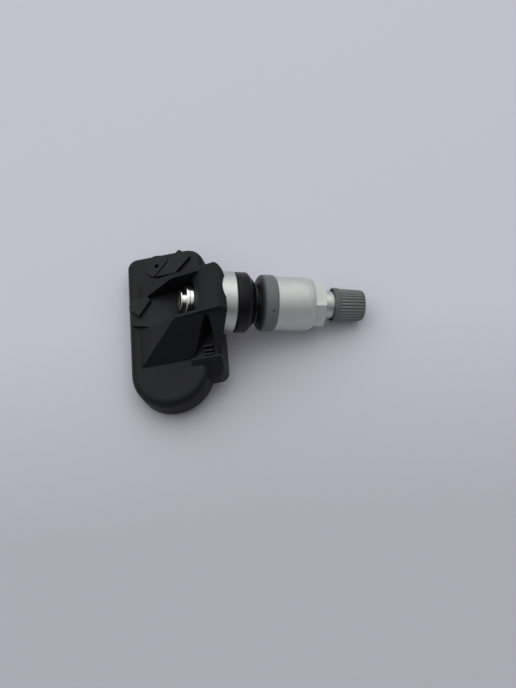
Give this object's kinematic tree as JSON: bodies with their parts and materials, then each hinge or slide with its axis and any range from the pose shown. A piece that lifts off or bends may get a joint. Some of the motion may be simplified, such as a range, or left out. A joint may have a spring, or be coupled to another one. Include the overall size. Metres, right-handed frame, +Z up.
{
  "type": "tyre pressure sensor",
  "caption": "Clamp-in tyre pressure sensor: black moulded electronics case screwed to an aluminium valve with rubber grommet, washer, collar nut and ribbed dust cap.",
  "frame": {"origin": "centre of the rim seat on the valve's axis, where the grommet's flange ends", "axes": "+Z up as the sensor lies at rest; +X in plan along the valve, towards the dust cap; +Y towards the case's square end"},
  "size_m": [0.0667, 0.0475, 0.0239],
  "materials": {
    "case_plastic": "moulded, fine grain",
    "cover_plastic": "moulded, smooth",
    "board": "solder mask",
    "cell_steel": "satin",
    "tab_nickel": "satin",
    "chip_black": "matt",
    "gasket_rubber": "matt",
    "crystal_can": "satin",
    "ferrite": "matt",
    "copper_wire": "enamelled",
    "ceramic": "matt",
    "valve_aluminium": "satin anodised",
    "screw_steel": "bright",
    "grommet_rubber": "smooth",
    "washer_grey": "matt",
    "nut_aluminium": "satin anodised",
    "core_brass": "turned",
    "core_seal_white": "smooth",
    "cap_plastic": "moulded"
  },
  "bodies": {
    "case": {"housing": "case_plastic", "base_cover": "cover_plastic", "circuit_board": "board", "button_cell": "cell_steel", "cell_tab_positive": "tab_nickel", "cell_tab_negative": "tab_nickel", "pressure_sensor": "chip_black", "port_gasket": "gasket_rubber", "radio_chip": "chip_black", "crystal": "crystal_can", "trigger_coil_core": "ferrite", "trigger_coil_winding": "copper_wire", "antenna_loop": "tab_nickel", "capacitors": "ceramic"},
    "valve": {"valve_stem": "valve_aluminium", "fixing_screw": "screw_steel", "saddle_washer": "screw_steel", "rim_grommet": "grommet_rubber", "core_body": "core_brass", "core_seal": "core_seal_white", "core_spring": "crystal_can"},
    "core_pin": {"core_pin": "core_brass", "core_cup": "core_brass"},
    "nut_ring": {"nut_washer": "washer_grey"},
    "nut": {"collar_nut": "nut_aluminium"},
    "cap_liner": {"cap_seal": "gasket_rubber"},
    "cap": {"dust_cap": "cap_plastic"}
  },
  "joints": [
    {"name": "valve_swivel", "type": "hinge", "parent": "case", "child": "valve", "pos_m": [-0.02913, 0, 0.00675], "axis": [0, 1, 0], "range_deg": [-2, 2]},
    {"name": "core_press", "type": "slide", "parent": "valve", "child": "core_pin", "axis": [-0.9742, 0, 0.2259], "range_m": [0, 0.0009], "stiffness_N_per_m": 500, "springref_m": -0.002, "deforming": ["core_spring"]},
    {"name": "nut_lift", "type": "slide", "parent": "valve", "child": "nut_ring", "axis": [0.9742, 0, -0.2259], "range_m": [0, 0.0012]},
    {"name": "nut_spin", "type": "hinge", "parent": "nut_ring", "child": "nut", "pos_m": [0, 0, 0], "axis": [0.9742, 0, -0.2259], "range_deg": [0, 433]},
    {"name": "cap_lift", "type": "slide", "parent": "valve", "child": "cap_liner", "axis": [0.9742, 0, -0.2259], "range_m": [0, 0.00556]},
    {"name": "cap_spin", "type": "hinge", "parent": "cap_liner", "child": "cap", "pos_m": [0, 0, 0], "axis": [0.9742, 0, -0.2259], "range_deg": [0, 2521]}
  ],
  "couplings": [
    {"joint": "nut_spin", "follows": "nut_lift", "rad_per_m": 6283.2},
    {"joint": "cap_spin", "follows": "cap_lift", "rad_per_m": 7915.8}
  ]
}
